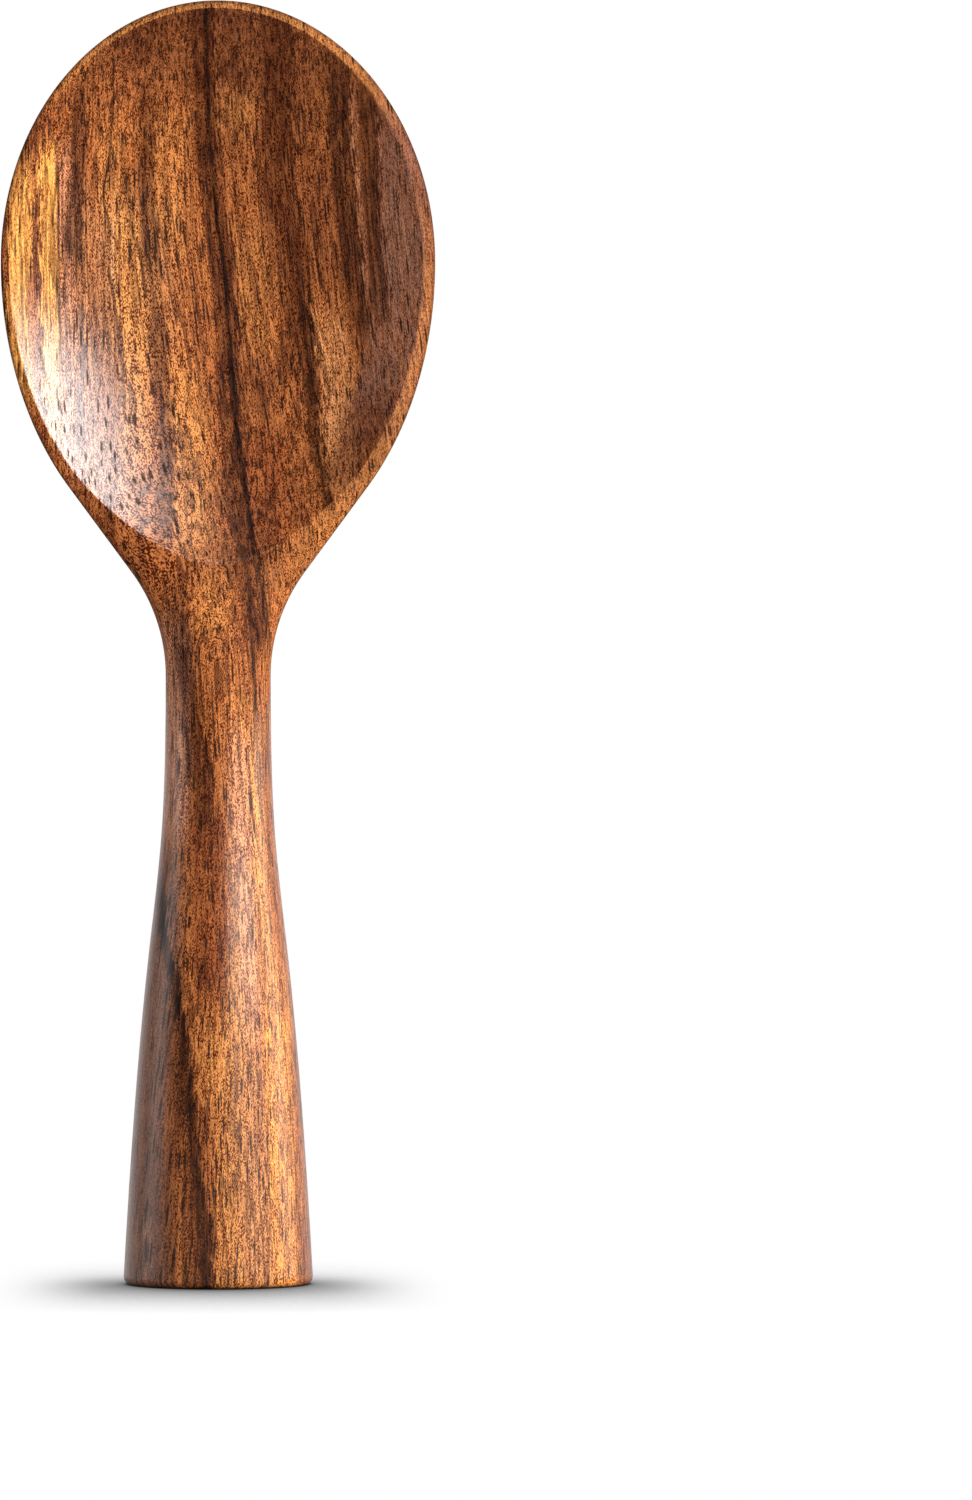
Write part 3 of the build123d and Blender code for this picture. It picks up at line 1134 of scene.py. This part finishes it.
    def sample(self, graph: Graph, height: float) -> WoodPoint:
        """Finds where a point lies in the wood and what its texture is there.

        Args:
            graph: The material's graph.
            height: The paddle's height.

        Returns:
            The point.
        """
        place = graph.vector_math("MULTIPLY", graph.value("ShaderNodeTexCoord", {}, {}, "Object"),
                                  (1 / MM, 1 / MM, 1 / MM))
        split = graph.node("ShaderNodeSeparateXYZ", {}, {0: place})
        x, y, z = (Value(graph, socket) for socket in split.outputs)
        leaning = self.curve(graph, z, self.lean, height) * (
            graph.step(x, *self.lean_right_of) * (1 - self.lean_least) + self.lean_least)
        along = graph.value("ShaderNodeCombineXYZ", {}, {"X": x - leaning, "Y": y, "Z": z})
        fibre = self.texture(graph, along, self.fibre)
        thread = self.texture(graph, along, self.thread)
        speckle = self.texture(graph, along, self.speckle)
        glint = self.glint(graph, along)
        patch = self.texture(graph, along, self.patch)
        band = self.texture(graph, along, self.band)
        slow = self.texture(graph, along, self.wander) - EVEN
        quick = self.texture(graph, along, self.tremble) - EVEN
        steady = x + graph.math("MAXIMUM", y, 0.0) * self.through_tilt + slow * self.wander_sway
        streak_x = (steady + quick * self.streak_tremble_sway
                    + (fibre - EVEN) * self.streak_fibre_sway)
        hairline_x = steady + quick * self.hairline_tremble_sway
        return WoodPoint(x, z, along, streak_x, hairline_x,
                         fibre, thread, speckle, glint, patch, band)

    def texture(self, graph: Graph, along: Value, grain: Grain) -> Value:
        """One scale of the texture at a point, stretched along the fibres.

        Args:
            graph: The material's graph.
            along: The point's place in the leaning grain.
            grain: The scale.

        Returns:
            The noise, with the grain's low and high spread to 0 and 1.
        """
        place = graph.vector_math("MULTIPLY", along, (grain.across, grain.across, grain.along))
        noise = graph.noise(place, grain.detail, grain.harsh)
        if (grain.low, grain.high) == (0.0, 1.0):
            return noise
        return graph.step(noise, grain.low, grain.high)

    def net(self, graph: Graph, along: Value, cells: Cells) -> tuple[Value, Value]:
        """A net of cells at a point.

        Args:
            graph: The material's graph.
            along: The point's place in the leaning grain.
            cells: The cells.

        Returns:
            How fully a cell's mark shows there, and that cell's own chance, both 0..1.
        """
        place = graph.vector_math("MULTIPLY", along, cells.repeats)
        net = graph.node("ShaderNodeTexVoronoi", {"feature": "F1"}, {"Vector": place, "Scale": 1.0})
        mark = graph.step(Value(graph, net.outputs["Distance"]), *cells.fade)
        split = graph.node("ShaderNodeSeparateColor", {}, {0: Value(graph, net.outputs["Color"])})
        return mark, Value(graph, split.outputs[0])

    def glint(self, graph: Graph, along: Value) -> Value:
        """The curl's painted glints: rounded cells a little longer than wide, each with its own
        brightness.
        """
        mark, chance = self.net(graph, along, self.glint_cells)
        return mark * (chance * self.glint_of_cell + self.glint_least)

    def pores(self, graph: Graph, along: Value) -> Value:
        """The open pores: short dashes along the fibres, in the cells whose chance is high."""
        mark, chance = self.net(graph, along, self.pore_cells)
        return mark * graph.step(chance, *self.pore_chosen)

    def curve(self, graph: Graph, z: Value, path: Sequence[Point], height: float) -> Value:
        """A length that follows the height, read from a smooth curve.

        Args:
            graph: The material's graph.
            z: The height, in millimetres.
            path: The curve's points, as (height, length).
            height: The paddle's height, which the curve's input is a share of.

        Returns:
            The length, in millimetres.
        """
        places = [(z_mm / height, (mm + self.curve_span / 2) / self.curve_span) for z_mm, mm in path]
        share = graph.value("ShaderNodeFloatCurve", {"curve": places}, {"Value": z * (1 / height)})
        return share * self.curve_span - self.curve_span / 2

    def mark(self, graph: Graph, across: Value, z: Value, streak: Streak, height: float) -> Value:
        """How strongly a streak shows at a point: 1 along its middle line, 0 beyond its width.

        Args:
            graph: The material's graph.
            across: The point's x in the figure.
            z: The point's height.
            streak: The streak. An end at the foot's face or near the top isn't faded.
            height: The paddle's height.

        Returns:
            A value of 0..1.
        """
        middle = self.curve(graph, z, [(z_mm, x_mm) for x_mm, z_mm in streak.path], height)
        blur = streak.blur * self.blur_scale
        away = abs(across - middle)
        shown = graph.step(away, streak.half * (1 + blur), streak.half * (1 - blur))
        heights = [z_mm for _, z_mm in streak.path]
        low, high = min(heights), max(heights)
        if low > 0:
            shown = shown * graph.step(z, low, low + streak.tail)
        if high < height - streak.tail / 2:
            shown = shown * graph.step(z, high, high - streak.tail)
        return shown * streak.strength

    def laid(self, graph: Graph, across: Value, z: Value, colour: Value, streaks: Sequence[Streak],
             cover: Value, height: float) -> tuple[Value, Any]:
        """Lays streaks over the wood, each over those before it.

        Args:
            graph: The material's graph.
            across: The point's x in the figure.
            z: The point's height.
            colour: The colour under them.
            streaks: The streaks.
            cover: How fully the wood's threads take up their tone.
            height: The paddle's height.

        Returns:
            The new colour, and 1 where a gold streak of sapwood shows.
        """
        sapwood: Any = 0.0
        for streak in streaks:
            shown = self.mark(graph, across, z, streak, height)
            colour = graph.mix(shown * cover, colour, streak.tone.linear)
            if streak.tone is Tone.GOLD:
                sapwood = shown | sapwood
        return colour, sapwood

    def growth_line(self, graph: Graph, at: WoodPoint) -> Value:
        """The growth rings' lines, where the threads and fibres let them show.

        Args:
            graph: The material's graph.
            at: The point.

        Returns:
            A value of 0..1: the share of a ring, as it rises and falls, times the texture.
        """
        share = graph.math("FRACT", self.texture(graph, at.along, self.ring) * self.ring_count)
        line = graph.step(share, *self.ring_rise) * graph.step(share, *self.ring_fall)
        return line * (at.thread * self.ring_of_thread + at.fibre * self.ring_of_fibre
                       + self.ring_least)

    def paint_rim_light_and_shade(self, graph: Graph, at: WoodPoint, colour: Value, rim: Value) -> Value:
        """Paints light and shade on the rim: painted shade at the left, painted light at the lower right
        and at the top.

        Args:
            graph: The material's graph.
            at: The point.
            colour: The wood's colour.
            rim: 1 on the rim.

        Returns:
            The new colour.
        """
        on_right = self.regions.right_rim(graph, at)
        on_top = graph.step(at.z, *self.regions.crown_above)
        # Painted shade on the rim's left, and painted light on its lower right and top.
        painted_shade = rim * (1 - (on_right | on_top)) * self.left_rim_painted_shade
        colour = graph.mix(painted_shade, colour, Tone.RUST.linear)
        painted_light = rim * (on_right * self.right_rim_painted_light | on_top * self.crown_rim_painted_light)
        return graph.mix(painted_light, colour, self.rim_tone.linear)

    def shaded(self, graph: Graph, at: WoodPoint, colour: Value, lively: Value, sapwood: Any) -> Value:
        """Multiplies the finest texture's light and shade, with the curl's painted glints, into the
        colour.

        Args:
            graph: The material's graph.
            at: The point.
            colour: The wood's colour.
            lively: 1 where the texture is strong.
            sapwood: 1 in the sapwood.

        Returns:
            The new colour.
        """
        stippled = self.regions.stippled(graph, at) * self.glint_of_stipple + self.glint_elsewhere
        light = ((at.speckle - EVEN) * self.light_of_speckle + (at.fibre - EVEN) * self.light_of_fibre
                 + at.glint * stippled * self.light_of_glint)
        contrast = lively * self.contrast_of_lively + self.contrast_elsewhere
        calm = self.regions.calm(graph, at)
        soft = calm * self.contrast_lost_in_calm | sapwood * self.contrast_lost_in_sapwood
        light = light * contrast * (1 - soft) + self.light_even
        return graph.vector_math("MULTIPLY", colour, graph.mix(light, self.darkest, self.brightest))


@dataclass(frozen=True)
class Lamp:
    """A flat lamp that faces the paddle's middle.

    Attributes:
        name: Its name.
        azimuth: Degrees to the right of the paddle's front.
        elevation: Degrees above the level.
        distance: How far it stands off, in millimetres.
        width: How wide it is, in millimetres.
        height: How high it is, in millimetres.
        watts: Its power.
    """

    name: str
    azimuth: float
    elevation: float
    distance: float
    width: float
    height: float
    watts: float

    def build(self, aim_height: float) -> None:
        """Hangs the lamp.

        Args:
            aim_height: The height that it faces, in millimetres.
        """
        data = bpy.data.lights.new(self.name, "AREA")
        data.shape = "RECTANGLE"
        data.size = self.width * MM
        data.size_y = self.height * MM
        data.energy = self.watts
        lamp = bpy.data.objects.new(self.name, data)
        bpy.context.scene.collection.objects.link(lamp)
        turn = math.radians(self.azimuth)
        rise = math.radians(self.elevation)
        away = Vector((math.sin(turn) * math.cos(rise), -math.cos(turn) * math.cos(rise), math.sin(rise)))
        lamp.location = (Vector((0, 0, aim_height)) + away * self.distance) * MM
        lamp.rotation_euler = away.to_track_quat("Z", "Y").to_euler()


@dataclass(frozen=True)
class WhiteSurround:
    """A surround that is white to the camera, dim as a light, and mirrored white only behind."""

    as_light: float = 0.26
    mirrored_front: float = 0.05
    card_azimuth: float = 150.0
    card_fade: Span = (-0.3, 0.6)

    def build(self) -> None:
        """Makes the world.

        The mirrored part rises over card_fade, along the direction that points to card_azimuth.
        """
        world = bpy.data.worlds.new("white_surround")
        bpy.context.scene.world = world
        world.use_nodes = True
        graph = Graph(world.node_tree)
        path = graph.node("ShaderNodeLightPath", {}, {})
        split = graph.node("ShaderNodeSeparateXYZ", {}, {
            0: graph.value("ShaderNodeTexCoord", {}, {}, "Generated")})
        turn = math.radians(self.card_azimuth)
        towards = (Value(graph, split.outputs["X"]) * math.sin(turn)
                   - Value(graph, split.outputs["Y"]) * math.cos(turn))
        card = graph.step(towards, *self.card_fade)
        lighting = Value(graph, path.outputs["Is Diffuse Ray"]) * self.as_light
        mirrored = card * (1 - self.mirrored_front) + self.mirrored_front
        mirrored = Value(graph, path.outputs["Is Glossy Ray"]) * mirrored
        seen = (Value(graph, path.outputs["Is Camera Ray"])
                | Value(graph, path.outputs["Is Transmission Ray"]))
        glow = graph.value("ShaderNodeBackground", {}, {
            "Color": WHITE, "Strength": lighting | (mirrored | seen)})
        graph.node("ShaderNodeOutputWorld", {}, {"Surface": glow})


@dataclass(frozen=True)
class Floor:
    """A white disc that keeps the paddle's soft contact shadow and fades out before its edge.

    Attributes:
        reach: The radius up to which it is solid, in millimetres.
        fade: The width over which it fades out beyond that, in millimetres.
        columns: How many corners it has.
        shadow_reach: How far from the paddle the floor can be shaded, in millimetres.
        shadow_curve: The floor's brightness against its share of open sky.
        shadow_lean: The direction that counts as up. It leans away from the shadow's longer side.
        shadow_ends: The distances left and right at which the shadow is gone and at which it is full.
        sky_samples: How many rays look for open sky.
    """

    reach: float = 260.0
    fade: float = 120.0
    columns: int = 96
    shadow_reach: float = 60.0
    shadow_curve: tuple[Point, ...] = ((0, 0), (0.5, 0.16), (0.7, 0.36), (0.78, 0.45), (0.84, 0.57),
                                       (0.9, 0.74), (0.95, 0.89), (0.98, 0.97), (1, 1))
    shadow_lean: tuple[float, float, float] = (0.06, 0.3, 1.0)
    shadow_ends: Span = (40.0, 18.0)
    sky_samples: int = 16

    def build(self, as_light: float) -> bpy.types.Object:
        """Makes the floor.

        Args:
            as_light: How bright it is as a light on the paddle, where 1 is white.

        Returns:
            The floor.
        """
        outer = self.reach + self.fade
        turns = np.linspace(0, 2 * math.pi, self.columns, endpoint=False)
        parts = MeshParts()
        ring = parts.add(np.stack([outer * np.cos(turns), outer * np.sin(turns), 0 * turns], -1))
        pole = int(parts.add(np.zeros(3)))
        parts.fan(pole, np.append(ring, ring[0]))
        floor = parts.build("floor")
        floor.data.materials.append(self.material(outer, as_light))
        return floor

    def material(self, outer: float, as_light: float) -> bpy.types.Material:
        """Makes the floor's glow, darkened where the paddle hides the sky.

        Args:
            outer: The floor's radius, in millimetres.
            as_light: How bright it is as a light on the paddle, where 1 is white.

        Returns:
            The material.
        """
        material = bpy.data.materials.new("white_floor")
        material.use_nodes = True
        graph = Graph(material.node_tree)
        point = graph.value("ShaderNodeTexCoord", {}, {}, "Object")
        far = graph.value("ShaderNodeVectorMath", {"operation": "LENGTH"}, {0: point}, "Value")
        gone = graph.step(far, self.reach * MM, outer * MM)
        up = graph.vector_math("NORMALIZE", self.shadow_lean)
        open_sky = graph.value("ShaderNodeAmbientOcclusion", {"samples": self.sky_samples},
                               {"Distance": self.shadow_reach * MM, "Normal": up}, "AO")
        path = graph.node("ShaderNodeLightPath", {}, {})
        lighting = Value(graph, path.outputs["Is Diffuse Ray"])
        shade = graph.value("ShaderNodeFloatCurve", {"curve": self.shadow_curve}, {"Value": open_sky})
        split = graph.node("ShaderNodeSeparateXYZ", {}, {0: point})
        gone_at, full_at = self.shadow_ends
        under = graph.step(abs(Value(graph, split.outputs["X"])), gone_at * MM, full_at * MM)
        shade = 1 - (1 - shade) * under
        shade = shade * (1 - lighting * (1 - as_light))
        lit = graph.value("ShaderNodeEmission", {}, {"Color": graph.mix(shade, BLACK, WHITE)})
        clear = graph.value("ShaderNodeBsdfTransparent", {}, {})
        shown = graph.value("ShaderNodeMixShader", {}, {0: gone, 1: lit, 2: clear})
        graph.node("ShaderNodeOutputMaterial", {}, {"Surface": shown})
        return material


@dataclass(frozen=True)
class Camera:
    """A long lens straight before the paddle, turned a little so that the paddle stands at the left.

    Attributes:
        distance: How far it stands before the paddle, in millimetres.
        eye_height: How high it stands, in millimetres.
        aim_height: The height on the paddle that middle_pixel is about, in millimetres.
        pixels_per_mm: The picture's scale at the paddle.
        frame_width: The picture's width, in pixels.
        frame_height: The picture's height, in pixels.
        axis_pixel: Where the paddle's axis stands, in pixels from the picture's left.
        middle_pixel: Where aim_height stands, in pixels from the picture's top.
        sensor_width: The sensor's longer side, in millimetres.
    """

    distance: float = 1550.0
    eye_height: float = 100.0
    aim_height: float = 107.5
    pixels_per_mm: float = 5.96
    frame_width: int = 972
    frame_height: int = 1500
    axis_pixel: float = 218.2
    middle_pixel: float = 643.0
    sensor_width: float = 36.0

    def build(self) -> None:
        """Sets the camera, and makes it the scene's own."""
        data = bpy.data.cameras.new("camera")
        data.sensor_width = self.sensor_width
        data.lens = self.sensor_width / self.frame_height * self.pixels_per_mm * self.distance
        camera = bpy.data.objects.new("camera", data)
        bpy.context.scene.collection.objects.link(camera)
        camera.location = Vector((0, -self.distance, self.eye_height)) * MM
        right = (self.frame_width / 2 - self.axis_pixel) / self.pixels_per_mm
        down = (self.frame_height / 2 - self.middle_pixel) / self.pixels_per_mm
        aim = Vector((right, self.distance, self.aim_height - down - self.eye_height))
        camera.rotation_euler = aim.to_track_quat("-Z", "Y").to_euler()
        bpy.context.scene.camera = camera


@dataclass(frozen=True)
class Studio:
    """A white floor and surround, one large softbox and two weaker side walls, and the camera."""

    surround: WhiteSurround = WhiteSurround()
    floor: Floor = Floor()
    camera: Camera = Camera()
    softbox: Lamp = Lamp("softbox", 44.0, 22.0, 1300.0, 1200.0, 620.0, 25.0)
    right_wall: Lamp = Lamp("right_wall", 95.0, 8.0, 1300.0, 600.0, 900.0, 7.0)
    left_wall: Lamp = Lamp("left_wall", -95.0, 8.0, 1400.0, 600.0, 900.0, 3.5)

    def build(self) -> bpy.types.Object:
        """Sets everything but the paddle.

        Returns:
            The floor.
        """
        floor = self.floor.build(self.surround.as_light)
        self.surround.build()
        for lamp in (self.softbox, self.right_wall, self.left_wall):
            lamp.build(self.camera.aim_height)
        self.camera.build()
        return floor


def main() -> None:
    """Dresses the paddle, sets the studio and reports each piece."""
    logging.basicConfig(level=logging.INFO, format="%(message)s")
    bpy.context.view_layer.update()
    low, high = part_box("paddle")
    form = PaddleForm(height=high.z / MM, head_width=(high.x - low.x) / MM)
    paddle = PaddleSurface(form).build("carved_paddle")
    paddle.data.materials.append(CarvedWood().build("hardwood", form.height))
    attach(paddle, "root")
    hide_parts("paddle")
    LOG.info("carved_paddle: %d vertices, %d faces", len(paddle.data.vertices), len(paddle.data.polygons))

    floor = Studio().build()
    LOG.info("floor, surround, three lamps and camera set")
    bpy.context.scene.view_settings.view_transform = "Standard"


if __name__ == "__main__":
    main()
